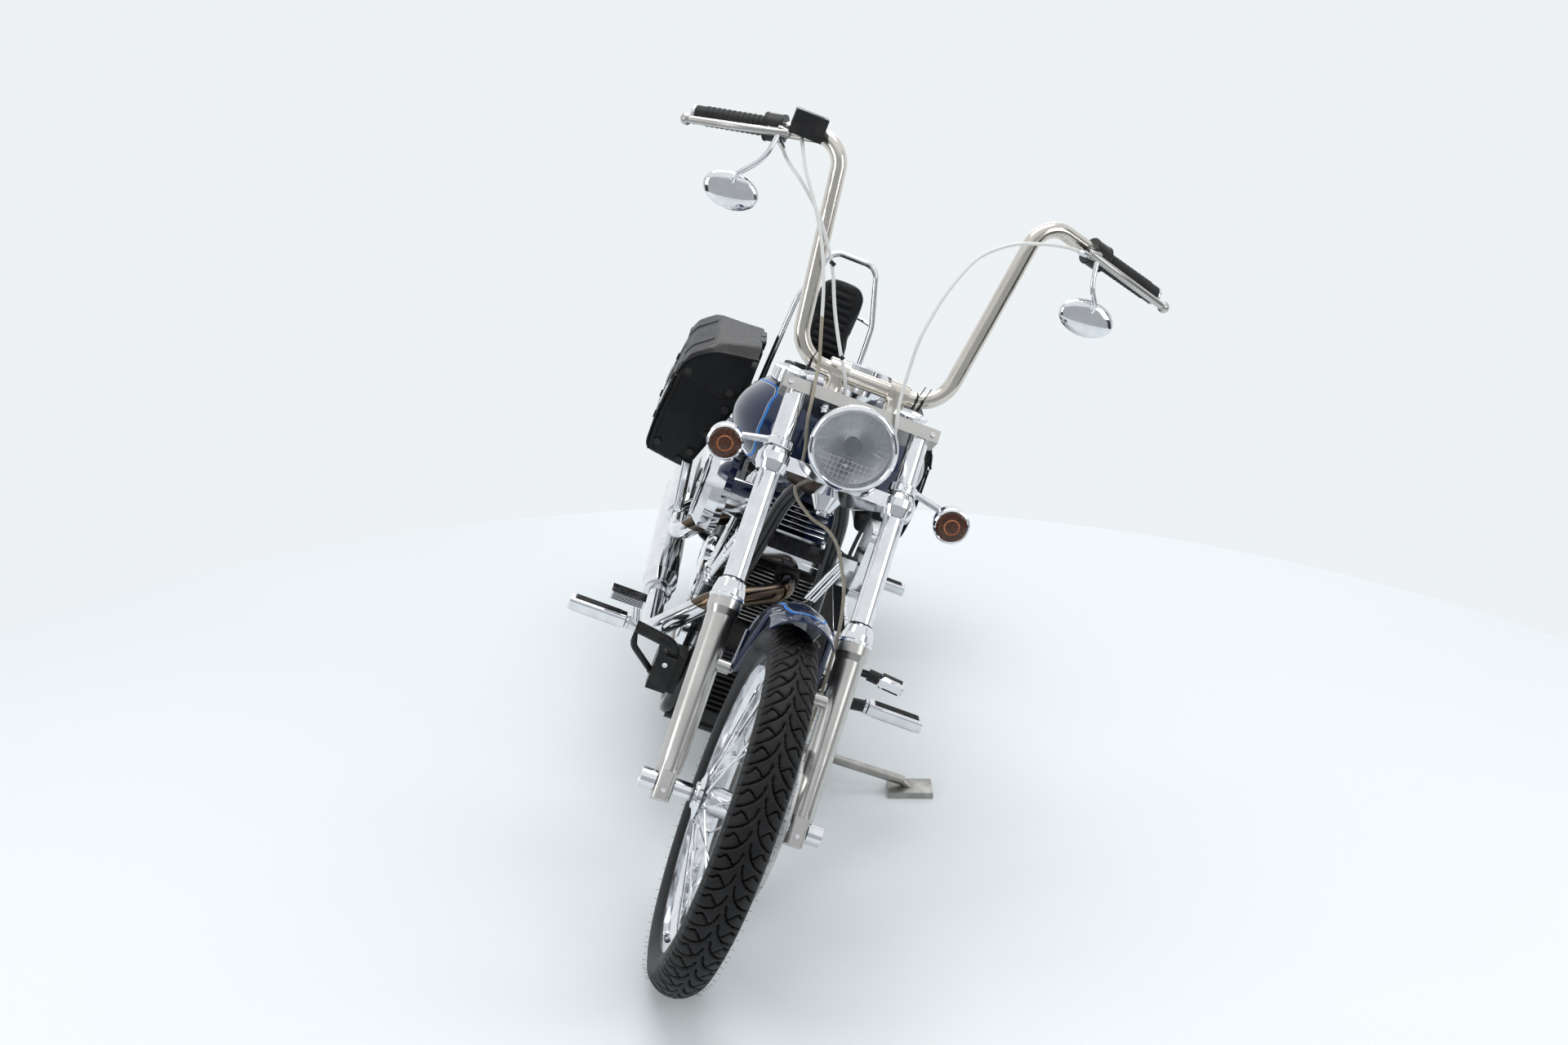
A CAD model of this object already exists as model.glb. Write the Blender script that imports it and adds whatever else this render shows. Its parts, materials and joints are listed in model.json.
import bpy
import bmesh
import json
from math import copysign, cos, exp, pi, radians, sin, sqrt
import numpy as np
from contextlib import contextmanager
from mathutils import Matrix, Vector, noise
from mathutils.bvhtree import BVHTree


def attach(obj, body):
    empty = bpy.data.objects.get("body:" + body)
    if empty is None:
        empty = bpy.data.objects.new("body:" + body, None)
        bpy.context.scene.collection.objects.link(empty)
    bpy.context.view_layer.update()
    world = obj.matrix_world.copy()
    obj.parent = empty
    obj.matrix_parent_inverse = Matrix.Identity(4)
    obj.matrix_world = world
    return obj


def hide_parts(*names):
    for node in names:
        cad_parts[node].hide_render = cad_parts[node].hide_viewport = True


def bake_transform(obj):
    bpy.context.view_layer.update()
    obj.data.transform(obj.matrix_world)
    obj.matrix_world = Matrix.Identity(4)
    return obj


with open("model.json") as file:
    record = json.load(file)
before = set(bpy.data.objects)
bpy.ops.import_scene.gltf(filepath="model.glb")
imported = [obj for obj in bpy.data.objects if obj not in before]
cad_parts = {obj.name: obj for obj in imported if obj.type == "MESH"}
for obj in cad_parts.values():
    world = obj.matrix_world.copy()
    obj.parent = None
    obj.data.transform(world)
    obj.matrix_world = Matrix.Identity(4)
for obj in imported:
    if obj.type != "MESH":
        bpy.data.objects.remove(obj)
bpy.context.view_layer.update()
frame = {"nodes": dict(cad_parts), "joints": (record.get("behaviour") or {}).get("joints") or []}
NODES = frame["nodes"]
JOINTS = {j["name"]: j for j in frame["joints"]}

# Chassis directions, read from the joints: X to the rider's left, Y backwards, Z up along the leaned machine
MM = 0.001
FRONT_AXLE_Z = 344.0
LEFT = Vector(JOINTS["front_wheel_spin"]["axis"]).normalized()
UP = Vector(JOINTS["side_stand_fold"]["axis"]).normalized()
BACK = UP.cross(LEFT).normalized()
FRONT_HUB = Vector(JOINTS["front_wheel_spin"]["pos_m"])
REAR_HUB = Vector(JOINTS["rear_wheel_spin"]["pos_m"])
FORK_UP = Vector(JOINTS["steering_turn"]["axis"]).normalized()
FORK_FRONT = LEFT.cross(FORK_UP).normalized()
ORIGIN = FRONT_HUB - UP * (FRONT_AXLE_Z * MM)
X, Y, Z = Vector((1, 0, 0)), Vector((0, 1, 0)), Vector((0, 0, 1))

# Camera of the photograph
PHOTO_W = 1920
CAMERA_PLACE = (-0.1549, -3.5289, 1.7335)
CAMERA_PITCH_DEG = 18.19
CAMERA_YAW_DEG = -0.04
CAMERA_ROLL_DEG = 0.31
CAMERA_FOCAL_PX = 2025.4
SENSOR_MM = 36.0


def space(origin, x, y, z):
    """Matrix from millimetres along three directions to the row frame in metres."""
    m = Matrix.Identity(4)
    for i, direction in enumerate((x * MM, y * MM, z * MM, origin)):
        for j in range(3):
            m[j][i] = direction[j]
    return m


CHASSIS = space(ORIGIN, LEFT, BACK, UP)
FORK = space(FRONT_HUB, LEFT, FORK_FRONT, FORK_UP)
FRONT_WHEEL = space(FRONT_HUB, LEFT, BACK, UP)
REAR_WHEEL = space(REAR_HUB, LEFT, BACK, UP)


# Node helpers for materials

class Tree:
    """Short names for the nodes of one material or world."""

    def __init__(self, tree, coords):
        self.tree = tree
        self.coords = tree.nodes.new("ShaderNodeTexCoord").outputs[coords]

    def link(self, source, target):
        self.tree.links.new(source, target)

    def add(self, kind, inputs=None, **settings):
        node = self.tree.nodes.new(kind)
        for key, value in settings.items():
            setattr(node, key, value)
        for key, value in (inputs or {}).items():
            if isinstance(value, bpy.types.NodeSocket):
                self.link(value, node.inputs[key])
            else:
                node.inputs[key].default_value = value
        return node

    def noise(self, scale, detail=3.0, roughness=0.5, vector=None):
        inputs = {"Vector": vector or self.coords, "Scale": scale, "Detail": detail, "Roughness": roughness}
        return self.add("ShaderNodeTexNoise", inputs).outputs["Fac"]

    def cells(self, scale, **settings):
        return self.add("ShaderNodeTexVoronoi", {"Vector": self.coords, "Scale": scale}, **settings).outputs["Distance"]

    def spread(self, value, low, high, to_low=0.0, to_high=1.0, **settings):
        inputs = {"Value": value, "From Min": low, "From Max": high, "To Min": to_low, "To Max": to_high}
        return self.add("ShaderNodeMapRange", inputs, **settings).outputs["Result"]

    def maths(self, operation, a, b=0.0):
        return self.add("ShaderNodeMath", {0: a, 1: b}, operation=operation).outputs["Value"]

    def blend(self, factor, a, b):
        node = self.add("ShaderNodeMix", data_type="RGBA")
        self.link(factor, node.inputs["Factor"])
        for key, value in (("A", a), ("B", b)):
            socket = [s for s in node.inputs if s.name == key and s.type == "RGBA"][0]
            if isinstance(value, bpy.types.NodeSocket):
                self.link(value, socket)
            else:
                socket.default_value = (*value, 1.0)
        return [s for s in node.outputs if s.type == "RGBA"][0]

    def bump(self, height, strength, distance):
        inputs = {"Height": height, "Strength": strength, "Distance": distance}
        return self.add("ShaderNodeBump", inputs).outputs["Normal"]

    def stretched(self, x, y, z):
        return self.add("ShaderNodeMapping", {"Vector": self.coords, "Scale": (x, y, z)}).outputs["Vector"]


class Nodes(Tree):
    """One material with its shader."""

    def __init__(self, name):
        self.material = bpy.data.materials.new(name)
        self.material.use_nodes = True
        super().__init__(self.material.node_tree, "Object")
        self.shader = self.tree.nodes["Principled BSDF"]

    def place(self, frame_space, axis):
        """Millimetres along one axis of a frame, from the object's own coordinates."""
        direction = Vector([frame_space[j][axis] for j in range(3)]).normalized()
        origin = frame_space.translation
        dot = self.add("ShaderNodeVectorMath", {0: self.coords, 1: direction}, operation="DOT_PRODUCT")
        away = self.maths("SUBTRACT", dot.outputs["Value"], origin.dot(direction))
        return self.maths("MULTIPLY", away, 1000.0)

    def zone(self, *limits):
        """One where every (frame, axis, low, high) holds, with an edge a fraction of a millimetre wide."""
        mask = None
        for frame_space, axis, low, high in limits:
            value = self.place(frame_space, axis)
            for edge, operation in ((low, "GREATER_THAN"), (high, "LESS_THAN")):
                if edge is None:
                    continue
                step = self.maths(operation, value, edge)
                mask = step if mask is None else self.maths("MULTIPLY", mask, step)
        return mask

    def set(self, **values):
        names = {"base": "Base Color", "metal": "Metallic", "rough": "Roughness", "normal": "Normal",
                 "coat": "Coat Weight", "coat_rough": "Coat Roughness", "ior": "IOR", "clear": "Transmission Weight",
                 "sheen": "Sheen Weight", "sheen_rough": "Sheen Roughness", "alpha": "Alpha"}
        for key, value in values.items():
            socket = self.shader.inputs[names[key]]
            if isinstance(value, bpy.types.NodeSocket):
                self.link(value, socket)
            elif key == "base":
                socket.default_value = (*value, 1.0)
            else:
                socket.default_value = value
        return self.material


# Finishes: each gives its colour, metal, roughness and relief in metres

def tint(n, mask, low, high, a, b):
    return n.blend(n.spread(mask, low, high), a, b)


def relief(n, value, metres):
    return n.maths("MULTIPLY", value, metres)


def mottled(tone, reach, a, b, metal, gloss, grain, metres):
    """Finish of two close shades over one noise, which also spreads the gloss, with a relief of its own grain."""
    def finish(n):
        patch = n.noise(*tone)
        return {"base": tint(n, patch, *reach, a, b), "metal": metal, "rough": n.spread(patch, *gloss),
                "height": relief(n, n.noise(*grain) if grain else patch, metres)}
    return finish


def satin_nickel(n):
    """Warm satin plate of the handlebar, polished along its length."""
    lines = n.noise(420.0, 2.0, vector=n.stretched(1.0, 1.0, 0.06))
    return {"base": tint(n, n.noise(14.0), 0.3, 0.7, (0.70, 0.665, 0.61), (0.58, 0.55, 0.50)), "metal": 1.0,
            "rough": n.spread(lines, 0.3, 0.7, 0.14, 0.22), "height": relief(n, lines, 0.000004)}


def ground_steel(n):
    """Brake disc: fine circular grinding with a smoky brake film."""
    fine = n.noise(700.0, 2.0)
    return {"base": tint(n, n.noise(17.0, 4.0), 0.35, 0.65, (0.56, 0.56, 0.56), (0.44, 0.435, 0.425)), "metal": 1.0,
            "rough": n.spread(fine, 0.3, 0.7, 0.24, 0.36), "height": relief(n, fine, 0.00003)}


def blue_paint(n):
    """Very dark blue metallic with flakes, to lie under a clear coat."""
    flake = n.spread(n.cells(1900.0), 0.0, 0.7)
    deep = tint(n, n.noise(5.0, 3.0), 0.35, 0.65, (0.0035, 0.008, 0.028), (0.0045, 0.011, 0.040))
    return {"base": n.blend(n.spread(flake, 0.55, 1.0), deep, (0.010, 0.024, 0.075)), "metal": 0.35,
            "rough": n.spread(flake, 0.0, 1.0, 0.27, 0.36), "height": relief(n, flake, 0.000006)}


def leather(dark, light, low, high, scale):
    """Black grained leather, its grain raised, shinier on the crowns of the grain."""
    def finish(n):
        grain = n.spread(n.cells(scale, feature="SMOOTH_F1"), 0.1, 0.62, 1.0, 0.0)
        crease = n.noise(70.0, 4.0, 0.6)
        height = n.maths("ADD", relief(n, grain, 0.00012), relief(n, crease, 0.0002))
        soft = relief(n, n.noise(9.0, 4.0, 0.6), 0.0012)
        return {"base": tint(n, n.noise(9.0, 4.0, 0.6), 0.35, 0.7, dark, light), "metal": 0.0,
                "rough": n.spread(crease, 0.3, 0.7, high, low), "height": n.maths("ADD", height, soft)}
    return finish


def rubber(base, rough, scale=500.0):
    return mottled((24.0, 5.0, 0.6), (0.4, 0.8), base, tuple(1.9 * c + 0.004 for c in base), 0.0,
                   (0.3, 0.8, rough, rough + 0.15), (scale, 3.0), 0.00008)


def enamel(a, b, rough, metal=0.0):
    return mottled((45.0, 3.0), (0.3, 0.7), a, b, metal, (0.3, 0.7, rough, rough + 0.08), (300.0,), 0.00002)


def braid(n):
    """Stainless braid under a clear sleeve: two families of fine diagonal wires."""
    waves = []
    for vector in (n.coords, n.stretched(-1.0, 1.0, 1.0)):
        inputs = {"Vector": vector, "Scale": 420.0, "Distortion": 0.6, "Detail": 1.0}
        waves.append(n.add("ShaderNodeTexWave", inputs, bands_direction="DIAGONAL").outputs["Fac"])
    weave = n.maths("MULTIPLY", waves[0], waves[1])
    return {"base": tint(n, weave, 0.1, 0.7, (0.60, 0.60, 0.58), (0.78, 0.78, 0.76)), "metal": 0.0, "rough": 0.36,
            "height": relief(n, weave, 0.00003)}


def heat_blue(n):
    """Chrome that the exhaust gas has turned gold, purple and blue."""
    bands = n.spread(n.noise(16.0, 3.0), 0.3, 0.7)
    warm = n.blend(bands, (0.13, 0.095, 0.06), (0.085, 0.065, 0.055))
    return {"base": n.blend(n.spread(n.noise(9.0, 2.0), 0.45, 0.6), warm, (0.09, 0.09, 0.11)), "metal": 1.0,
            "rough": n.spread(bands, 0.0, 1.0, 0.10, 0.2), "height": relief(n, bands, 0.00002)}


def lens(deep, bright):
    """Coloured lamp lens: moulded prisms under a glossy skin."""
    def finish(n):
        prism = n.cells(230.0)
        return {"base": tint(n, prism, 0.0, 0.7, bright, deep), "metal": 0.0,
                "rough": n.spread(n.noise(30.0), 0.3, 0.7, 0.06, 0.12), "height": relief(n, prism, 0.0004)}
    return finish


def white_plate(n):
    dust = n.noise(30.0, 5.0)
    return {"base": tint(n, dust, 0.4, 0.8, (0.74, 0.74, 0.73), (0.62, 0.62, 0.60)), "metal": 0.0, "rough": 0.35,
            "height": relief(n, n.noise(240.0), 0.00002)}


DUST = (26.0, 5.0, 0.62)
FINISHES = {
    # Polished plate with a faint ripple and a slightly hazy film
    "chrome": mottled((38.0, 4.0), (0.35, 0.7), (0.80, 0.81, 0.83), (0.70, 0.715, 0.74), 1.0,
                      (0.3, 0.75, 0.06, 0.12), (9.0, 2.0), 0.0001),
    # Machined and tumbled aluminium of the fork legs and calipers
    "satin_alloy": mottled((11.0, 3.0), (0.3, 0.7), (0.56, 0.55, 0.53), (0.44, 0.432, 0.415), 1.0,
                           (0.3, 0.7, 0.20, 0.31), (900.0, 2.0), 0.000006),
    # Plated steel of the stand, with a little yellowed zinc
    "zinc_steel": mottled((22.0, 5.0), (0.35, 0.65), (0.40, 0.39, 0.37), (0.27, 0.265, 0.25), 1.0,
                          (0.3, 0.7, 0.3, 0.48), None, 0.0001),
    # Black enamels with orange peel and a trace of road dust, and the wrinkle finish of the engine
    "gloss_black": mottled(DUST, (0.45, 0.8), (0.010, 0.010, 0.0115), (0.030, 0.029, 0.028), 0.0,
                           (0.3, 0.8, 0.12, 0.26), (260.0, 2.0), 0.00002),
    "satin_black": mottled(DUST, (0.45, 0.8), (0.012, 0.012, 0.013), (0.034, 0.033, 0.031), 0.0,
                           (0.3, 0.8, 0.34, 0.5), (320.0, 2.0), 0.00004),
    "engine_black": mottled((30.0, 5.0), (0.45, 0.8), (0.014, 0.014, 0.015), (0.040, 0.038, 0.036), 0.0,
                            (0.3, 0.8, 0.38, 0.55), (620.0, 4.0, 0.6), 0.0002),
    # Beige sheath of the brake hose
    "tan_hose": mottled((60.0, 3.0), (0.3, 0.7), (0.34, 0.30, 0.235), (0.27, 0.235, 0.18), 0.0,
                        (0.3, 0.7, 0.3, 0.42), (800.0,), 0.00003),
    "satin_nickel": satin_nickel, "ground_steel": ground_steel, "blue_paint": blue_paint, "braid": braid,
    "heat_blue": heat_blue, "white_plate": white_plate,
    "leather": leather((0.0045, 0.0047, 0.0052), (0.009, 0.0093, 0.0105), 0.36, 0.5, 420.0),
    "bag_leather": leather((0.0045, 0.0047, 0.0052), (0.0085, 0.0088, 0.0098), 0.36, 0.48, 300.0),
    "rubber": rubber((0.012, 0.012, 0.0125), 0.5),
    "tyre_rubber": rubber((0.0075, 0.0075, 0.008), 0.44, 900.0),
    "groove": rubber((0.0022, 0.0022, 0.0024), 0.9),
    "amber": lens((0.26, 0.062, 0.007), (0.56, 0.16, 0.02)),
    "lamp_core": lens((0.035, 0.010, 0.004), (0.10, 0.028, 0.008)),
    "red": lens((0.24, 0.006, 0.006), (0.50, 0.02, 0.015)),
    "stripe_blue": enamel((0.02, 0.17, 0.56), (0.025, 0.20, 0.64), 0.3),
    "stripe_silver": enamel((0.42, 0.46, 0.5), (0.5, 0.54, 0.58), 0.2, 0.5),
    "reflector": enamel((0.86, 0.87, 0.88), (0.80, 0.81, 0.83), 0.2, 0.75),
    "dark_glass": enamel((0.02, 0.021, 0.024), (0.03, 0.031, 0.034), 0.05),
    "mirror": enamel((0.9, 0.91, 0.92), (0.87, 0.88, 0.9), 0.01, 1.0),
}
COATS = {"gloss_black": 0.7, "blue_paint": 1.0, "amber": 1.0, "red": 1.0, "braid": 0.3}
INDEX = {"stripe_blue": 1.2, "blue_paint": 1.12, "gloss_black": 1.15, "leather": 1.3, "bag_leather": 1.3,
         "tyre_rubber": 1.28, "groove": 1.1, "rubber": 1.35, "engine_black": 1.35, "satin_black": 1.35}
MADE = {}


def material(name, other=None, *limits):
    """Material of one finish, or of two: the other one where the limits of its zone hold."""
    key = name if other is None else name + "_" + other + "_" + str(len(MADE))
    if key in MADE:
        return MADE[key]
    n = Nodes(key)
    look = FINISHES[name](n)
    if other is not None:
        mask = n.zone(*limits)
        second = FINISHES[other](n)
        look["base"] = n.blend(mask, look["base"], second["base"])
        for part in ("metal", "rough", "height"):
            if isinstance(look[part], float) and look[part] == second[part]:
                continue
            inputs = {0: mask, 1: n.maths("SUBTRACT", second[part], look[part]), 2: look[part]}
            look[part] = n.add("ShaderNodeMath", inputs, operation="MULTIPLY_ADD").outputs["Value"]
    height = look.pop("height")
    look["normal"] = n.bump(height, 1.0, 1.0)
    MADE[key] = n.set(coat=COATS.get(name, 0.0), coat_rough=0.03, ior=INDEX.get(name, 1.5), **look)
    return MADE[key]


def clear_glass():
    n = Nodes("clear_glass")
    haze = n.noise(30.0, 3.0)
    return n.set(base=(0.40, 0.43, 0.46), rough=n.spread(haze, 0.3, 0.7, 0.02, 0.05), alpha=0.14, ior=1.6,
                 normal=n.bump(haze, 0.1, 0.0005))


# The nodes of each finish, and those that are made of two, with the zone of the second
PLAIN_NODES = {
    "gloss_black": "frame swingarm oil_tank", "satin_black": "shocks voltage_regulator",
    "engine_black": "front_cylinder rear_cylinder", "rubber": "drive_belt grips", "braid": "bar_cables",
    "chrome": "rocker_covers pushrod_tubes air_cleaner mufflers horn_cover tank_console fender_struts sissy_bar "
              "passenger_pegs fork_tubes front_axle headlamp front_signals mirrors front_wheel rear_wheel",
    "blue_paint": "fuel_tank front_fender rear_fender", "satin_alloy": "front_caliper rear_caliper rear_pulley",
    "satin_nickel": "handlebar", "ground_steel": "front_disc rear_disc", "zinc_steel": "side_stand",
}
NODE_FINISH = {node: (finish,) for finish, nodes in PLAIN_NODES.items() for node in nodes.split()}
ACROSS, ALONG, HIGH = 0, 1, 2
NODE_FINISH.update({
    "crankcase": ("engine_black", "chrome", (CHASSIS, ACROSS, None, -104.0)),
    "primary_cover": ("engine_black", "chrome", (CHASSIS, ACROSS, 188.5, None)),
    "gearbox": ("engine_black", "chrome", (CHASSIS, ACROSS, None, -101.0)),
    "exhaust_pipes": ("chrome", "heat_blue", (CHASSIS, HIGH, 452.0, None)),
    "tail_lamp": ("red", "chrome", (CHASSIS, ALONG, None, 2010.0)),
    "number_plate": ("white_plate", "satin_black", (CHASSIS, ALONG, None, 2090.0)),
    "right_foot_controls": ("satin_black", "chrome", (CHASSIS, ACROSS, None, -246.0)),
    "left_foot_controls": ("satin_black", "chrome", (CHASSIS, ACROSS, 271.0, None)),
    "frame_cables": ("rubber", "chrome", (CHASSIS, HIGH, 585.0, 703.0)),
    "fork_yokes": ("chrome", "satin_alloy", (FORK, HIGH, 760.0, None)),
    "fork_sliders": ("satin_alloy", "chrome", (FORK, HIGH, 362.0, None)),
    "hand_controls": ("satin_black", "chrome", (CHASSIS, ALONG, None, 532.0), (CHASSIS, HIGH, None, 1444.0)),
    "brake_hose": ("tan_hose", "braid", (CHASSIS, HIGH, 1150.0, None)),
})


def finish_nodes():
    """Gives every carried-over CAD node its material."""
    finishes = {name: material(*finish) for name, finish in NODE_FINISH.items() if name in NODES}
    finishes["headlamp_lens"] = clear_glass()
    for name, finish in finishes.items():
        node = NODES[name]
        if not node.material_slots:
            node.data.materials.append(finish)
        for held in node.material_slots:
            held.material = finish


# Mesh building

def across_of(axis):
    """Two directions square to an axis."""
    side = axis.cross(Z if abs(axis.z) < 0.8 else Y).normalized()
    return side, axis.cross(side).normalized()


def turns(count, start=0.0):
    """Angles that share out a full turn."""
    return [2 * pi * (i + start) / count for i in range(count)]


def wheel_out(a):
    """Direction in the plane of a wheel, turned from straight up towards the rear."""
    return Vector((0, sin(a), cos(a)))


@contextmanager
def edited(mesh):
    """The mesh opened for editing, and written back at the end."""
    bm = bmesh.new()
    bm.from_mesh(mesh)
    yield bm
    bm.to_mesh(mesh)
    bm.free()


class Shape:
    """Points and faces in the millimetres of one frame, made into one piece at the end."""

    def __init__(self, frame_space=CHASSIS):
        self.space = frame_space
        self.points = []
        self.faces = []

    def add(self, points, faces):
        first = len(self.points)
        self.points += [Vector(p) for p in points]
        self.faces += [tuple(first + i for i in face) for face in faces]
        return self

    def rows(self, rows, around=False, along=False):
        """Quads between rows of points; around closes each row and along joins the last row to the first."""
        count = len(rows[0])
        faces = []
        for i in range(len(rows) if along else len(rows) - 1):
            after = (i + 1) % len(rows)
            for j in range(count if around else count - 1):
                k = (j + 1) % count
                faces.append((i * count + j, i * count + k, after * count + k, after * count + j))
        return self.add([p for row in rows for p in row], faces)

    def capped(self, rows):
        """Rows closed around, with a face over the first and the last."""
        first, count = len(self.points), len(rows[0])
        self.rows(rows, around=True)
        self.faces.append(tuple(range(first, first + count)))
        self.faces.append(tuple(range(len(self.points) - 1, len(self.points) - 1 - count, -1)))
        return self

    def turned(self, profile, centre, axis, steps=32, ring=False):
        """Profile of (radius, height) turned about an axis, closed by end faces or, for a ring, by its own loop."""
        axis = Vector(axis).normalized()
        side, front = across_of(axis)
        outs = [side * cos(a) + front * sin(a) for a in turns(steps)]
        rows = [[Vector(centre) + axis * height + out * max(radius, 0.01) for out in outs]
                for radius, height in profile]
        return self.rows(rows, around=True, along=True) if ring else self.capped(rows)

    def tube(self, points, radius, sides=10, smooth=8):
        """Round bar along a soft line through its points."""
        path = soft_line(points, smooth)
        rows = []
        side = None
        for i, p in enumerate(path):
            run = (path[min(i + 1, len(path) - 1)] - path[max(i - 1, 0)]).normalized()
            side = across_of(run)[0] if side is None else (side - run * side.dot(run)).normalized()
            front = run.cross(side)
            rows.append([p + (side * cos(a) + front * sin(a)) * radius
                         for a in turns(sides)])
        return self.capped(rows)

    def block(self, centre, size, chamfer=1.0, x=X, y=Y, z=Z):
        """Box with chamfered edges."""
        half = [s / 2 for s in size]
        rows = []
        for height, inset in ((-half[2], chamfer), (-half[2] + chamfer, 0), (half[2] - chamfer, 0), (half[2], chamfer)):
            row = []
            for sx, sy in ((1, 1), (-1, 1), (-1, -1), (1, -1)):
                a = (sx * (half[0] - inset), sy * (half[1] - inset - chamfer))
                b = (sx * (half[0] - inset - chamfer), sy * (half[1] - inset))
                for px, py in ((a, b) if sx * sy > 0 else (b, a)):
                    row.append(Vector(centre) + Vector(x) * px + Vector(y) * py + Vector(z) * height)
            rows.append(row)
        return self.capped(rows)

    def bolt(self, place, axis, size=7.0, height=5.0, washer=True):
        """Hexagon head with a turned crown, on a washer, standing along the axis from a surface."""
        axis = Vector(axis).normalized()
        if washer:
            self.turned([(size * 1.35, -1), (size * 1.35, 1), (size * 1.1, 1.5)], place, axis, 20)
        head = [(size, 0), (size, height + 0.8), (size * 0.86, height + 1.6), (size * 0.4, height + 1.9)]
        return self.turned(head, place, axis, 6)

    def socket(self, place, axis, size=5.0, height=5.0):
        """Round cap screw with its hexagon hole."""
        profile = [(size, -1), (size, height - 0.8), (size * 0.9, height), (size * 0.52, height), (size * 0.5, 1.5),
                   (0, 1.5)]
        return self.turned(profile, place, axis, 18)

    def mesh(self, name):
        mesh = bpy.data.meshes.new(name)
        mesh.from_pydata([self.space @ p for p in self.points], [], self.faces)
        return mesh

    def make(self, name, finish, body, crease=38.0, replaces=()):
        return dress(self.mesh(name), name, finish, body, crease, replaces)


def dress(mesh, name, finish, body, crease=38.0, replaces=()):
    """Object of a mesh, with outward faces, smooth shading up to the crease angle, finish and body."""
    with edited(mesh) as bm:
        bmesh.ops.remove_doubles(bm, verts=bm.verts, dist=0.00001)
        bmesh.ops.recalc_face_normals(bm, faces=bm.faces)
        for edge in bm.edges:
            edge.smooth = edge.calc_face_angle(0.0) < radians(crease)
        for face in bm.faces:
            face.smooth = True
    mesh.materials.clear()
    mesh.materials.append(material(finish) if isinstance(finish, str) else finish)
    obj = linked(name, mesh)
    if body:
        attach(obj, body)
    if replaces:
        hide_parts(*replaces)
    return obj


def linked(name, mesh):
    obj = bpy.data.objects.new(name, mesh)
    bpy.context.collection.objects.link(obj)
    return obj


def bake(obj):
    """Applies the object's modifiers."""
    made = bpy.data.meshes.new_from_object(obj.evaluated_get(bpy.context.evaluated_depsgraph_get()))
    obj.modifiers.clear()
    obj.data = made
    return obj


def soft_line(points, steps=8):
    """Catmull-Rom line through points."""
    points = [Vector(p) for p in points]
    if len(points) < 3:
        return points
    ends = [points[0] * 2 - points[1]] + points + [points[-1] * 2 - points[-2]]
    line = []
    for i in range(len(points) - 1):
        a, b, c, d = ends[i:i + 4]
        for k in range(steps):
            t = k / steps
            line.append(0.5 * (2 * b + (c - a) * t + (2 * a - 5 * b + 4 * c - d) * t * t
                               + (3 * b - a - 3 * c + d) * t * t * t))
    line.append(points[-1])
    return line


def surface(*objects):
    """Search tree over the shown surface of some objects, in the row frame."""
    points, faces = [], []
    for obj in objects:
        first = len(points)
        points += [v.co.copy() for v in obj.data.vertices]
        faces += [tuple(first + i for i in p.vertices) for p in obj.data.polygons]
    return BVHTree.FromPolygons(points, faces)


def laid(tree, points, aim, frame_space=CHASSIS, lift=0.3):
    """Points thrown along a direction on to a surface, each with the surface's normal, in the row frame."""
    turn = frame_space.to_3x3()
    aim = (turn @ Vector(aim)).normalized()
    found = []
    for p in points:
        start = frame_space @ Vector(p)
        hit, normal, _, _ = tree.ray_cast(start, aim)
        if hit is None:
            continue
        if normal.dot(aim) > 0:
            normal = -normal
        found.append((hit + normal * lift * MM, normal))
    return found


def ribbon(name, finish, body, found, width, thick=0.25):
    """Thin painted or sewn line laid on a surface."""
    if len(found) < 2:
        return None
    rows = []
    for i, (p, normal) in enumerate(found):
        run = (found[min(i + 1, len(found) - 1)][0] - found[max(i - 1, 0)][0]).normalized()
        side = run.cross(normal).normalized() * (width * MM / 2)
        high = normal * (thick * MM)
        rows.append([p - side - high, p - side * 0.8 + high, p + side * 0.8 + high, p + side - high])
    shape = Shape(Matrix.Identity(4)).rows(rows)
    return shape.make(name, finish, body, 60)


# Tyres

GROOVES = ([(3, 25), (6, 11), (12, 0), (21, -9), (33, -16), (47, -21)], [(13, -1), (22, 8), (30, 13)],
           [(31, 12), (40, 3), (48, 1)])
GROOVE_DEPTH, GROOVE_HALF_W = 3.4, 1.9
TREAD_REACH_DEG = 54.3


def groove_map(lines, period, u, v, half_width):
    """Depth from 0 to 1 at each point of a tread: lines are drawn in one period and repeated."""
    depth = np.zeros_like(u)
    for side, shift, line in lines:
        for (v1, u1), (v2, u2) in zip(line[:-1], line[1:]):
            near = np.full_like(u, 1e9)
            along = (u - shift * period) % period
            for turn in (-2, -1, 0, 1, 2):
                du, dv = u2 - u1, v2 - v1
                pu, pv = along + turn * period - u1, side * v - v1
                t = np.clip((pu * du + pv * dv) / (du * du + dv * dv), 0, 1)
                near = np.minimum(near, np.hypot(pu - t * du, pv - t * dv))
            depth = np.maximum(depth, np.clip((half_width + 0.9 - near) / 1.4, 0, 1))
    return depth


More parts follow.
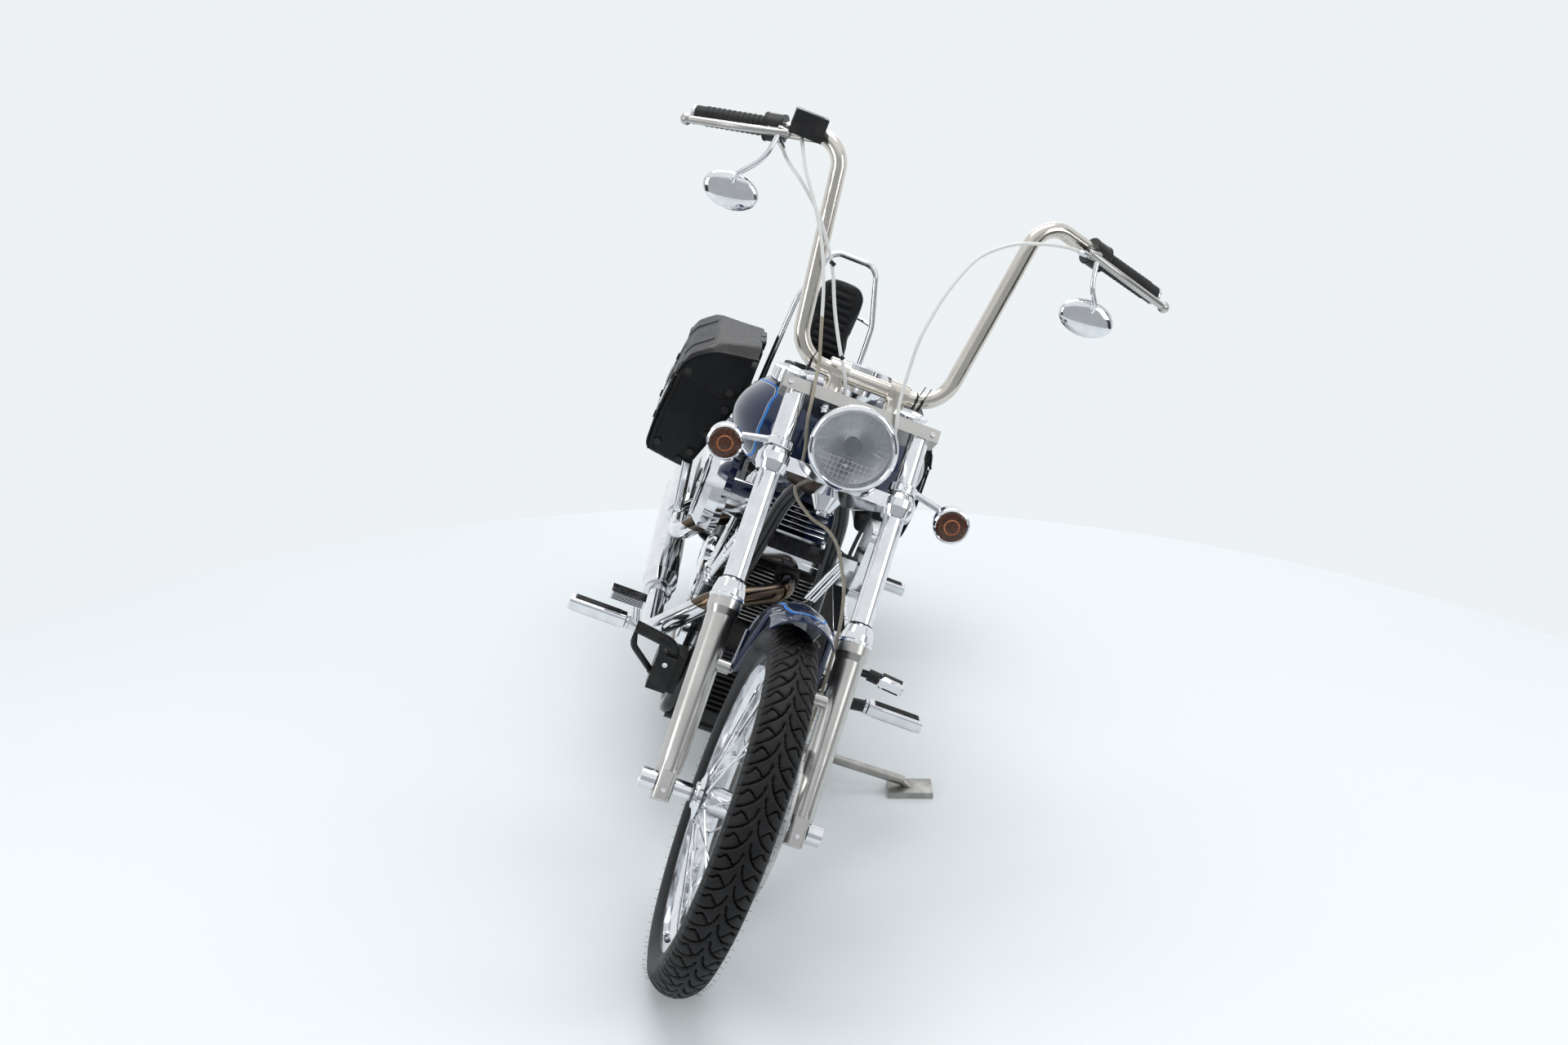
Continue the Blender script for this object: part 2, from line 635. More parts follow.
def tyre(name, wheel_space, outer, width, crown, rim_r, rim_w, counts, period_count, scale, body):
    """Carcass of round section with its tread grooves sunk in, standing for the CAD tyre."""
    around, across = counts
    reach = radians(TREAD_REACH_DEG)
    section = []
    for i in range(across + 1):
        a = reach * (2 * i / across - 1)
        section.append((outer - crown + crown * cos(a), crown * sin(a), crown * a, cos(a), sin(a)))
    edge_r, edge_x = section[-1][0], section[-1][1]
    bead_r, bead_x = rim_r + 1.5, rim_w / 2 - 7
    drop = edge_r - bead_r
    wall = []
    for t in (0.10, 0.22, 0.27, 0.31, 0.45, 0.6, 0.75, 0.82, 0.86, 0.93, 1.0):
        x = edge_x + (width / 2 - edge_x) * sin(min(t / 0.45, 1) * pi / 2)
        if t > 0.45:
            x = width / 2 + (bead_x - width / 2) * (1 - cos((t - 0.45) / 0.55 * pi / 2))
        x += 0.8 if t in (0.27, 0.82) else 0
        wall.append((edge_r - drop * t, min(x, width / 2), None, 0.0, 1.0))
    profile = [(r, -x, v, c, -s) for r, x, v, c, s in reversed(wall)] + section + wall
    angles = np.linspace(0, 2 * pi, around, endpoint=False)
    period = 2 * pi * outer / period_count
    lines = [(side, shift, [(v * scale, u * scale) for v, u in line])
             for side, shift in ((1, 0.0), (-1, 0.5)) for line in GROOVES]
    rows, floors = [], []
    for r, x, v, c, s in profile:
        sunk = np.zeros(around)
        if v is not None:
            sunk = groove_map(lines, period, angles * outer, np.full(around, v), GROOVE_HALF_W * scale)
        floors.append(sunk)
        sunk = sunk * (GROOVE_DEPTH * scale)
        rows.append([Vector((x - s * d, (r - c * d) * sin(a), (r - c * d) * cos(a)))
                     for a, d in zip(angles, sunk)])
    shape = Shape(wheel_space).rows(rows, around=True)
    tread = shape.make(name, "tyre_rubber", body, 50, replaces=(body.split("_")[0] + "_tyre",))
    tread.data.materials.append(material("groove"))
    deep = np.array(floors)
    low = (deep[:-1] + deep[1:]) / 2
    low = (low + np.roll(low, -1, axis=1)) / 2
    marks = np.where(low.ravel() > 0.62, 1, 0)
    tread.data.polygons.foreach_set("material_index", marks.astype(np.int32))
    return tread


def tyre_hairs():
    """Moulding hairs that stand out of the front tyre's shoulders."""
    shape = Shape(FRONT_WHEEL)
    for i in range(96):
        for s in (-1, 1):
            a = 2 * pi * (i + 0.3 * s + 0.25 * sin(i * 12.9)) / 96
            r = 322 + 3 * sin(i * 5.1)
            out = wheel_out(a)
            root = X * (s * 42.5) + out * r
            tip = root + X * (s * 6.5) + out * (1.5 + sin(i * 3.7))
            if (FRONT_WHEEL @ tip).z > 0.012:
                shape.tube([root, tip], 0.35, 4)
    return shape.make("tyre_hairs", "tyre_rubber", "front_wheel_body")


# Soft goods

def remeshed(obj, voxel_mm, rounds):
    """Even closed mesh of a form, its edges rounded by smoothing."""
    again = obj.modifiers.new("even", "REMESH")
    again.mode = "VOXEL"
    again.voxel_size = voxel_mm * MM
    soft = obj.modifiers.new("soft", "SMOOTH")
    soft.factor = 0.5
    soft.iterations = rounds
    return bake(obj)


def inset(obj, distance_mm):
    for vertex, normal in [(v, v.normal.copy()) for v in obj.data.vertices]:
        vertex.co -= normal * distance_mm * MM


def swell(obj, pressure, cap_mm, frames=20):
    """Blows a closed form up as cloth, each point moving no further than the cap."""
    rest = [v.co.copy() for v in obj.data.vertices]
    cloth = obj.modifiers.new("cloth", "CLOTH")
    cloth.settings.use_pressure = True
    cloth.settings.uniform_pressure_force = pressure
    cloth.settings.effector_weights.gravity = 0
    cloth.settings.quality = 5
    cloth.point_cache.frame_start = 1
    cloth.point_cache.frame_end = frames
    scene = bpy.context.scene
    for i in range(1, frames + 1):
        scene.frame_set(i)
    blown = obj.evaluated_get(bpy.context.evaluated_depsgraph_get()).data
    moved = [v.co.copy() for v in blown.vertices]
    obj.modifiers.clear()
    scene.frame_set(1)
    for vertex, a, b in zip(obj.data.vertices, rest, moved):
        move = b - a
        if move.length > cap_mm * MM:
            move *= cap_mm * MM / move.length
        vertex.co = a + move
    return obj


def carve(obj, depth_at):
    """Moves each point inwards by the millimetres that depth_at gives for its chassis place and normal."""
    back = CHASSIS.inverted()
    turn = back.to_3x3().normalized()
    moves = []
    for v in obj.data.vertices:
        moves.append((v, v.normal.copy(), depth_at(back @ v.co, (turn @ v.normal).normalized())))
    for vertex, normal, depth in moves:
        vertex.co -= normal * depth * MM


def dip(value, centre, half_width):
    """One at the centre of a seam and nothing beyond its half width."""
    t = abs(value - centre) / half_width
    return exp(-4 * t * t) if t < 1.6 else 0.0


def channels(value, pitch):
    """Rounded rolls with a sharp valley every pitch."""
    return 1 - abs(sin(pi * value / pitch)) ** 0.6


def pad(mesh, name, body, node, voxel, start_inset, pressure, cap, depth_at, finish="leather", rounds=6):
    obj = linked(name + "_form", mesh)
    remeshed(obj, voxel, rounds)
    inset(obj, start_inset)
    swell(obj, pressure, cap)
    obj.modifiers.new("finer", "SUBSURF").levels = 1
    bake(obj)
    carve(obj, depth_at)
    final = dress(obj.data, name, finish, body, 80, replaces=(node,))
    bpy.data.objects.remove(obj)
    return final


def seat_piece():
    """Two-up saddle: smooth rider's part with a sewn border, channels across the passenger's part."""
    def depth_at(p, normal):
        if normal.z < 0.25:
            return 0.0
        half = 150 - 62 * max(0.0, min(1.0, (p.y - 1200) / 220)) - 40 * max(0.0, min(1.0, (1200 - p.y) / 190))
        depth = 3.0 * dip(abs(p.x), half - 26, 5)
        if 1410 < p.y < 1590 and abs(p.x) < half - 28:
            depth += 3.6 * channels(p.y - 1410, 22)
        if 1080 < p.y < 1330 and abs(p.x) < half - 28:
            depth += 3.0 * channels(p.y - 1080, 28)
        return depth
    return pad(NODES["seat"].data.copy(), "seat_leather", "chassis", "seat", 7.0, 6.0, 4.0, 8.0, depth_at)


def pommel():
    """Leather front of the saddle, drawn over the backbone tube that runs under it."""
    rows = []
    for y in range(1010, 1191, 12):
        foot = float(np.interp(y, (1018, 1040, 1130, 1260), (787, 803, 754, 717)))
        rise = float(np.interp(y, (1010, 1018, 1040, 1130, 1150, 1190), (41.6, 37.6, 10.6, 14.6, 10.3, -2.0)))
        half = 46 + 16 * (y - 1010) / 180
        arc = [Vector((half * k / 8, y, foot + rise * cos(pi / 2 * k / 8) ** 0.7)) for k in range(-8, 9)]
        rows.append(arc + [Vector((half, y, foot - 9)), Vector((-half, y, foot - 9))])
    shape = Shape().capped(rows)
    shape.make("seat_pommel", "leather", "chassis", 50)


def backrest_piece():
    """Passenger's pad: wide smooth border, and a middle panel of channels between two seams."""
    outline = []
    for cx, cz, r, first in ((42, 864, 26, -90), (22, 1008, 42, 0), (-22, 1008, 42, 90), (-42, 864, 26, 180)):
        for k in range(7):
            a = radians(first + 15 * k)
            outline.append((cx + r * cos(a), cz + r * sin(a)))
    shape = Shape()
    rows = []
    for depth, shrink in ((-20, 7), (-14, 0), (12, 0), (19, 7)):
        rows.append([Vector((x * (1 - shrink / 68), 1622 + 18 * (z - 850) / 200 + depth,
                             930 + (z - 930) * (1 - shrink / 92))) for x, z in outline])
    mesh = shape.capped(rows).mesh("backrest_form")

    def depth_at(p, normal):
        side_seam = 2.4 * dip(p.y, 1622 + 18 * (p.z - 850) / 200 + 8, 4) if abs(normal.y) < 0.7 else 0.0
        if normal.y > -0.3:
            return side_seam
        wide = 38 - 10 * max(0.0, (p.z - 960) / 80)
        panel = abs(p.x) < wide and 868 < p.z < 1022
        depth = 3.4 * dip(abs(p.x), wide, 4) if 862 < p.z < 1028 else 0.0
        depth += 3.0 * (dip(p.z, 866, 4) + dip(p.z, 1024, 4)) if abs(p.x) < wide else 0.0
        return depth + side_seam + (4.2 * channels(p.z - 868, 19.25) if panel else 0.0)
    return pad(mesh, "backrest_leather", "chassis", "backrest", 5.0, 4.0, 4.0, 7.0, depth_at, rounds=4)


def grown(points, distance):
    """Convex outline moved outwards by a distance."""
    middle = Vector((sum(p[0] for p in points) / len(points), sum(p[1] for p in points) / len(points)))
    lines = []
    for a, b in zip(points, points[1:] + points[:1]):
        run = (Vector(b) - Vector(a)).normalized()
        out = Vector((run.y, -run.x))
        if out.dot(Vector(a) - middle) < 0:
            out = -out
        lines.append((Vector(a) + out * distance, run))
    corners = []
    for (a, u), (b, v) in zip(lines[-1:] + lines[:-1], lines):
        t = ((b - a).x * v.y - (b - a).y * v.x) / (u.x * v.y - u.y * v.x)
        corners.append(a + u * t)
    return corners


BAG_FRONT = [(152, 846), (264, 828), (314, 788), (336, 732), (347, 620), (348, 530), (338, 512), (238, 497),
             (225, 504), (152, 752)]
BAG_SIDE = [(1370, 500), (1332, 640), (1326, 812), (1420, 846), (1640, 846), (1748, 816), (1756, 640), (1720, 500),
            (1640, 482), (1440, 482)]


def bag_skin(name, side, grow, keep, wall, voxel=7.0):
    """Skin of the bag's form, cut to the part on the kept side of some planes and thickened inwards."""
    front = [(Vector((p.x * side, 1000, p.y)), Vector((p.x * side, 2000, p.y))) for p in grown(BAG_FRONT, grow)]
    flank = [(Vector((20 * side, p.x, p.y)), Vector((500 * side, p.x, p.y))) for p in grown(BAG_SIDE, grow)]
    solids = []
    for pairs in (front, flank):
        mesh = bpy.data.meshes.new(name + "_prism")
        n = len(pairs)
        faces = [(i, (i + 1) % n, (i + 1) % n + n, i + n) for i in range(n)] + [tuple(range(n)), tuple(range(n, 2 * n))]
        mesh.from_pydata([CHASSIS @ p[0] for p in pairs] + [CHASSIS @ p[1] for p in pairs], [], faces)
        with edited(mesh) as bm:
            bmesh.ops.recalc_face_normals(bm, faces=bm.faces)
        solids.append(linked(name + "_prism", mesh))
    cross = solids[0].modifiers.new("cross", "BOOLEAN")
    cross.operation = "INTERSECT"
    cross.object = solids[1]
    body = bake(solids[0])
    bpy.data.objects.remove(solids[1])
    remeshed(body, voxel, 7)
    for vertex, normal in [(v, v.normal.copy()) for v in body.data.vertices]:
        vertex.co += normal * (1.6 * noise.noise(vertex.co * 11.0) - 0.6) * MM
    mirror = Vector((side, 1, 1))
    with edited(body.data) as bm:
        for point, direction in keep:
            place = CHASSIS @ (Vector(point) * mirror)
            out = (CHASSIS.to_3x3() @ (Vector(direction) * mirror)).normalized()
            bmesh.ops.bisect_plane(bm, geom=bm.verts[:] + bm.edges[:] + bm.faces[:], plane_co=place, plane_no=out,
                                   clear_inner=True)
    thick = body.modifiers.new("wall", "SOLIDIFY")
    thick.thickness = wall * MM
    thick.offset = -1
    thick.use_rim = True
    return bake(body)


FLAP_TOP = [(336, 740), (328, 766), (315, 785), (292, 805), (264, 820), (232, 827), (200, 832), (184, 834), (172, 836)]
FLAP_LOW = [(334, 741), (318, 738), (300, 734), (278, 729), (252, 723), (222, 718), (198, 720), (184, 731), (176, 752)]


def bag_front(z):
    """How far back the plain front of the bag stands at a height."""
    return 1332 - 6 * (z - 640) / 172 if z > 640 else 1332 + 38 * (640 - z) / 140


def front_flap(side, hand, lid_body):
    """Stiff leather panel hung from the lid over the front, its rolled edge and the piping of the case."""
    sheet = Shape()
    rows = []
    top = soft_line([Vector((x, 0, z)) for x, z in FLAP_TOP], 4)
    low = soft_line([Vector((x, 0, z)) for x, z in FLAP_LOW], 4)
    for a, b in zip(top, low):
        outside, inside = [], []
        for k in range(9):
            p = a.lerp(b, k / 8)
            t = max(0.0, min(1.0, (752 - p.z) / 34))
            y = bag_front(p.z) - 12.5 + 6.5 * t + 0.8 * sin(p.x * 0.06 + p.z * 0.05)
            outside.append(Vector((p.x * side, y, p.z)))
            inside.append(Vector((p.x * side, y + 3.2, p.z)))
        rows.append(outside + inside[::-1])
    sheet.rows(rows, around=True)
    rim = [Vector((side * x, bag_front(z) - 11.5, z)) for x, z in [(340, 736)] + FLAP_TOP + [(158, 838)]]
    sheet.tube(rim, 3.6, 10, 4)
    low_edge = [Vector((side * p.x, bag_front(p.z) - 9.5 + (3.5 if p.z < 750 else 0), p.z)) for p in low[::3]]
    sheet.tube(low_edge, 2.0, 8, 2)
    flap = sheet.make(hand + "_front_flap", "bag_leather", lid_body, 60)
    piping = Shape()
    for inset, radius in ((0, 3.2), (15, 1.3)):
        edge = [Vector((side * (x - inset), bag_front(z) + (3.0 if inset == 0 else -0.2), z))
                for x, z in ((338, 728), (342, 680), (346.5, 620), (347, 570), (345, 534), (336, 517))]
        piping.tube(edge, radius, 10, 4)
    piping.make(hand + "_front_piping", "bag_leather", "chassis", 60)


def bag(side):
    """Leather saddlebag: sagging case, its lid, hinge, piping, straps with buckles and domed rivets."""
    hand = "left" if side > 0 else "right"
    lid_body = hand + "_lid"
    case = bag_skin(hand + "_case", side, 0, [((0, 0, 770), (0, 0, -1))], 5)
    body = dress(case.data, hand + "_bag_case", "bag_leather", "chassis", 60, replaces=(hand + "_bag",))
    bpy.data.objects.remove(case)
    cap = bag_skin(hand + "_cap", side, 9, [((0, 0, 758), (0, 0, 1)), ((158.5, 0, 0), (1, 0, 0))], 5)
    lid = dress(cap.data, hand + "_bag_flap", "bag_leather", lid_body, 60, replaces=(hand + "_bag_lid",))
    bpy.data.objects.remove(cap)
    wall = Shape().block((side * 154.5, 1540, 802), (5, 300, 82), 1.5)
    wall.make(hand + "_bag_wall", "bag_leather", "chassis")
    pin = Shape().tube([(side * 152, 1462, 853), (side * 152, 1598, 853)], 2.5, 12)
    for y in (1466, 1530, 1594):
        pin.block((side * 152, y, 845), (8, 8, 20), 1.0)
    pin.make(hand + "_bag_hinge_pin", "satin_black", "chassis")
    knuckles = Shape()
    for a, b in ((1471, 1525), (1535, 1589)):
        knuckles.turned([(4.6, 0), (4.6, b - a)], (side * 152, a, 853), Y, 16)
        knuckles.block((side * 158, (a + b) / 2, 854), (9, b - a, 2.4), 0.5)
    knuckles.make(hand + "_bag_hinge_leaf", "satin_black", lid_body)

    case_tree, lid_tree = surface(body), surface(lid)
    rivets, lid_rivets, buckles = Shape(Matrix.Identity(4)), Shape(Matrix.Identity(4)), Shape(Matrix.Identity(4))
    for k, y in enumerate((1430, 1650)):
        upper = laid(lid_tree, [(side * 500, y, z) for z in range(828, 762, -6)], (-side, 0, 0), lift=0.9)
        ribbon(hand + "_strap_top_%d" % k, "bag_leather", lid_body, upper, 27, 1.2)
        lower = laid(case_tree, [(side * 500, y, z) for z in range(752, 560, -8)], (-side, 0, 0), lift=0.9)
        ribbon(hand + "_strap_%d" % k, "bag_leather", "chassis", lower, 27, 1.2)
        for z in (700, 590):
            for place, normal in laid(case_tree, [(side * 500, y, z)], (-side, 0, 0), lift=2.0):
                rivets.turned([(0.0055, 0), (0.005, 0.0018), (0.0032, 0.0032), (0.0, 0.0038)], place, normal, 16)
        for place, normal in laid(case_tree, [(side * 500, y, 650)], (-side, 0, 0), lift=3.0):
            up = (UP - normal * UP.dot(normal)).normalized()
            wide = up.cross(normal)
            for sign in (-1, 1):
                buckles.block(place + wide * sign * 0.019, (0.005, 0.046, 0.005), 0.001, wide, up, normal)
                buckles.block(place + up * sign * 0.021, (0.04, 0.005, 0.005), 0.001, wide, up, normal)
            buckles.block(place + normal * 0.002, (0.003, 0.042, 0.003), 0.0006, wide, up, normal)
    front_flap(side, hand, lid_body)
    for x, z in ((193, 689), (212, 610), (236, 550), (256, 518), (322, 546)):
        for place, normal in laid(case_tree, [(side * x, 1100, z)], (0, 1, 0), lift=1.0):
            rivets.turned([(0.006, 0), (0.0055, 0.0018), (0.0034, 0.0034), (0.0, 0.004)], place, normal, 16)
    for x, z in ((198, 737), (312, 752)):
        place, normal = CHASSIS @ Vector((side * x, bag_front(z) - 9.5, z)), CHASSIS.to_3x3() @ -Y
        lid_rivets.turned([(0.0075, 0), (0.007, 0.002), (0.004, 0.0042), (0.0, 0.005)], place, normal.normalized(), 18)
    rivets.make(hand + "_bag_rivets", "satin_black", "chassis")
    lid_rivets.make(hand + "_lid_rivets", "satin_black", lid_body)
    buckles.make(hand + "_bag_buckles", "chrome", "chassis")
    hem = [(side * 500, y, 764) for y in range(1330, 1752, 12)]
    ribbon(hand + "_lid_hem_side", "bag_leather", lid_body, laid(lid_tree, hem, (-side, 0, 0), lift=0.5), 7, 1.0)
    low = [(side * 500, y, 524 + 10 * cos((y - 1540) / 60)) for y in range(1380, 1712, 12)]
    ribbon(hand + "_low_seam", "bag_leather", "chassis", laid(case_tree, low, (-side, 0, 0), lift=0.5), 5, 1.0)


# Stage

def stage():
    """Pale seamless floor, the world and soft lamps."""
    mesh = bpy.data.meshes.new("floor")
    rim = [(2.57 * cos(a) - 0.155, 2.57 * sin(a) - 0.64, 0) for a in turns(180)]
    mesh.from_pydata(rim, [], [tuple(range(180))])
    floor = linked("floor", mesh)
    n = Nodes("floor_paint")
    shade = n.blend(n.noise(1.4, 4.0), (0.77, 0.80, 0.815), (0.79, 0.82, 0.835))
    mesh.materials.append(n.set(base=shade, rough=0.6, normal=n.bump(n.noise(60.0), 0.02, 0.001)))

    world = bpy.data.worlds.new("studio")
    world.use_nodes = True
    bpy.context.scene.world = world
    world.node_tree.nodes.clear()
    w = Tree(world.node_tree, "Generated")
    plain, seen, room = [w.add("ShaderNodeBackground", {"Color": colour, "Strength": strength}).outputs[0]
                         for colour, strength in (((0.90, 0.94, 0.97, 1), 0.78), ((0.85, 0.885, 0.905, 1), 1.0),
                                                  (room_colour(w), 1.0))]
    path = w.add("ShaderNodeLightPath").outputs
    mirrored = w.maths("MAXIMUM", path["Is Glossy Ray"], path["Is Transmission Ray"])
    lit = w.add("ShaderNodeMixShader", {0: mirrored, 1: plain, 2: room}).outputs[0]
    shown = w.add("ShaderNodeMixShader", {0: path["Is Camera Ray"], 1: lit, 2: seen}).outputs[0]
    w.add("ShaderNodeOutputWorld", {"Surface": shown})

    lamp("overhead", (0.0, 0.2, 4.2), (0, 0, 0.4), 3.4, 2.2, 66.0)
    lamp("left_front", (3.4, -2.6, 2.4), (0, -0.2, 0.6), 1.6, 2.2, 34.0)
    lamp("right_front", (-3.4, -2.4, 2.2), (0, -0.2, 0.6), 1.4, 2.2, 30.0)
    lamp("behind", (0.3, 4.0, 3.0), (0, 0, 0.6), 2.8, 1.4, 30.0)


def room_colour(w):
    """Studio as metal mirrors it: white ceiling, walls and floor, and a greyer open side between two dark gaps."""
    x, y, z = w.add("ShaderNodeSeparateXYZ", {0: w.coords}).outputs

    def band(a, b):
        soft = [w.spread(value, low, high, interpolation_type="SMOOTHSTEP") for value, low, high in (a, b)]
        return w.maths("MULTIPLY", *soft)

    across = w.maths("ABSOLUTE", x)
    gaps = band((across, 0.70, 0.78), (across, 0.95, 0.89))
    open_side = band((y, 0.10, -0.2), (z, 0.62, 0.42))
    return w.blend(open_side, (0.92, 0.94, 0.96), w.blend(gaps, (0.46, 0.48, 0.50), (0.03, 0.031, 0.034)))


def lamp(name, place, target, wide, high, power):
    data = bpy.data.lights.new(name, "AREA")
    data.shape = "RECTANGLE"
    data.size, data.size_y = wide, high
    data.energy = power
    obj = linked(name, data)
    obj.location = place
    obj.rotation_euler = (Vector(target) - Vector(place)).to_track_quat("-Z", "Y").to_euler()


def camera():
    data = bpy.data.cameras.new("camera")
    data.sensor_fit = "HORIZONTAL"
    data.sensor_width = SENSOR_MM
    data.lens = CAMERA_FOCAL_PX / PHOTO_W * SENSOR_MM
    obj = linked("camera", data)
    yaw = Matrix.Rotation(radians(-CAMERA_YAW_DEG), 4, "Z")
    pitch = Matrix.Rotation(radians(90 - CAMERA_PITCH_DEG), 4, "X")
    roll = Matrix.Rotation(radians(CAMERA_ROLL_DEG), 4, "Z")
    obj.matrix_world = Matrix.Translation(CAMERA_PLACE) @ yaw @ pitch @ roll
    bpy.context.scene.camera = obj


# Lamps and trim

RAKE = radians(33.6)


def fork_mm(x, forward, along):
    """Chassis millimetres of a point given in the fork's directions."""
    return Vector((x, along * sin(RAKE) - forward * cos(RAKE),
                   FRONT_AXLE_Z + forward * sin(RAKE) + along * cos(RAKE)))


LAMP = fork_mm(0, 75, 692)
DISH_R, DISH_DEPTH, FLUTES = 69.5, 44.0, 16
GRID_R, GRID_Y = 66.0, -5.6
PILOT = LAMP + Vector((0, 6, -38))


def headlamp_inside():
    """Fluted reflector, bulb under its shield, and the small lamp below it."""
    rows = []
    for k in range(15):
        t = k / 14
        radius = DISH_R - 57 * t
        depth = DISH_DEPTH * (1 - (radius / DISH_R) ** 2) - 1
        row = []
        for a in turns(144):
            flute = 0.9 * abs(sin(a * FLUTES)) * (1 - t) if sin(a) > -0.25 else 0.0
            row.append(LAMP + Vector((radius * cos(a), depth + flute, radius * sin(a))))
        rows.append(row)
    dish = Shape().rows(rows, around=True)
    dish.make("lamp_reflector", "reflector", "steering", 30)
    ring = Shape().turned([(70, -5.8), (73, -5.8), (73, 0), (70, 0)], LAMP, Y, 72, ring=True)
    ring.make("lamp_inner_ring", "dark_glass", "steering")
    shield = Shape().turned([(0, -4), (11, -3.5), (16.5, -1), (17.5, 4), (17.5, 18), (13, 20), (0, 20)], LAMP, Y, 32)
    shield.tube([LAMP + Vector((0, 16, -11)), LAMP + Vector((0, 30, -16)), LAMP + Vector((0, 40, -12))], 1.6, 8)
    shield.turned([(10, -9), (14, -8), (14, 10), (10, 10)], PILOT, Y, 28, ring=True)
    shield.make("lamp_shield", "dark_glass", "steering")
    bulb = Shape().turned([(0, 22), (7, 22), (8, 28), (8, 40), (5, 44), (0, 45)], LAMP, Y, 24)
    bulb.turned([(0, -4), (5, -2), (7, 3), (5, 8), (0, 9)], PILOT, Y, 24)
    bulb.make("lamp_bulb", "mirror", "steering")
    lines = Shape()
    for x in range(-36, 37, 9):
        low = -sqrt(GRID_R ** 2 - x * x)
        lines.tube([LAMP + Vector((x, GRID_Y, low)), LAMP + Vector((x, GRID_Y, -22))], 0.35, 6)
    for z in (-24, -34, -44, -54):
        reach = sqrt(GRID_R ** 2 - z * z)
        lines.tube([LAMP + Vector((-reach, GRID_Y, z)), LAMP + Vector((reach, GRID_Y, z))], 0.35, 6)
    lines.make("lamp_lines", "white_plate", "steering")
    bezel = Shape().turned([(73.2, -13), (76, -15.5), (80, -14.5), (84.5, -9), (84.5, -7), (78, -9.5), (74, -9)],
                           LAMP, Y, 96, ring=True)
    bezel.bolt(LAMP + Vector((0, -10, -83)), -Z, 3.4, 3, False)
    bezel.make("lamp_bezel", "chrome", "steering")


def round_signal(shape_lens, shape_ring, centre, facing):
    """Ribbed dome lens in a rolled ring, with the darker bulb ring in its middle."""
    shape_lens.turned([(0, 5.0), (9, 4.8), (11, 3.6), (13, 4.7), (22, 3.6), (28, 1.6), (29.5, 0), (29.5, -3)],
                      centre, facing, 40)
    shape_ring.turned([(29.6, -4), (29.6, 1.2), (31.5, 2.2), (34.6, 0), (34.9, -4)], centre, facing, 40)


def lamps():
    lens, ring, core = Shape(), Shape(), Shape()
    for s in (-1, 1):
        centre = fork_mm(s * 228, 33, 634) + Vector((0, -18, 0))
        round_signal(lens, ring, centre, -Y)
        core.turned([(0, 5.9), (8, 5.6), (12.6, 5.1), (13.2, 3.2), (0, 3.2)], centre, -Y, 32)
        core.turned([(24.5, 4.4), (27, 3.4), (29.6, 1.6), (29.6, 0), (24.5, 2)], centre, -Y, 40)
    lens.make("front_signal_lenses", "amber", "steering")
    ring.make("front_signal_rings", "chrome", "steering")
    core.make("front_signal_cores", "lamp_core", "steering")
    lens, ring = Shape(), Shape()
    for s in (-1, 1):
        round_signal(lens, ring, Vector((s * 150, 2008, 640)), Y)
    lens.make("rear_signal_lenses", "amber", "chassis")
    ring.turned([(37.2, 0), (39.5, 1), (39.5, 10), (37.2, 12)], (0, 2004, 622), Y, 48)
    for z in (-24, 24):
        ring.socket((0, 2032, 622 + z * 0.9), Y, 3.2, 2.0)
    ring.make("rear_signal_rings", "chrome", "chassis")


def mirrors():
    glass, rim = Shape(), Shape()
    for x, z in ((358, 1315), (-378, 1296)):
        for shape, profile in ((glass, [(0.0, 16.2), (0.82, 16.2), (0.84, 14.5)]),
                               (rim, [(0.80, 8), (0.93, 9), (0.97, 13), (0.93, 17.2), (0.84, 17.2), (0.83, 15)])):
            rows = []
            for scale, depth in profile:
                rows.append([Vector((x + 56 * max(scale, 0.01) * cos(a), 548 + depth,
                                     z + 36 * max(scale, 0.01) * sin(a)))
                             for a in turns(48)])
            shape.rows(rows, around=True)
    glass.make("mirror_glass", "mirror", "steering")
    rim.make("mirror_rims", "chrome", "steering")


BAR_BEND, BAR_TIP = Vector((208, 568, 1462)), Vector((480, 655, 1397))
BAR_RUN = (BAR_TIP - BAR_BEND).normalized()


def bar_end(distance, side):
    """Chassis point on the outer straight of the bar, counted inwards from its tip."""
    return (BAR_TIP - BAR_RUN * distance) * Vector((side, 1, 1))


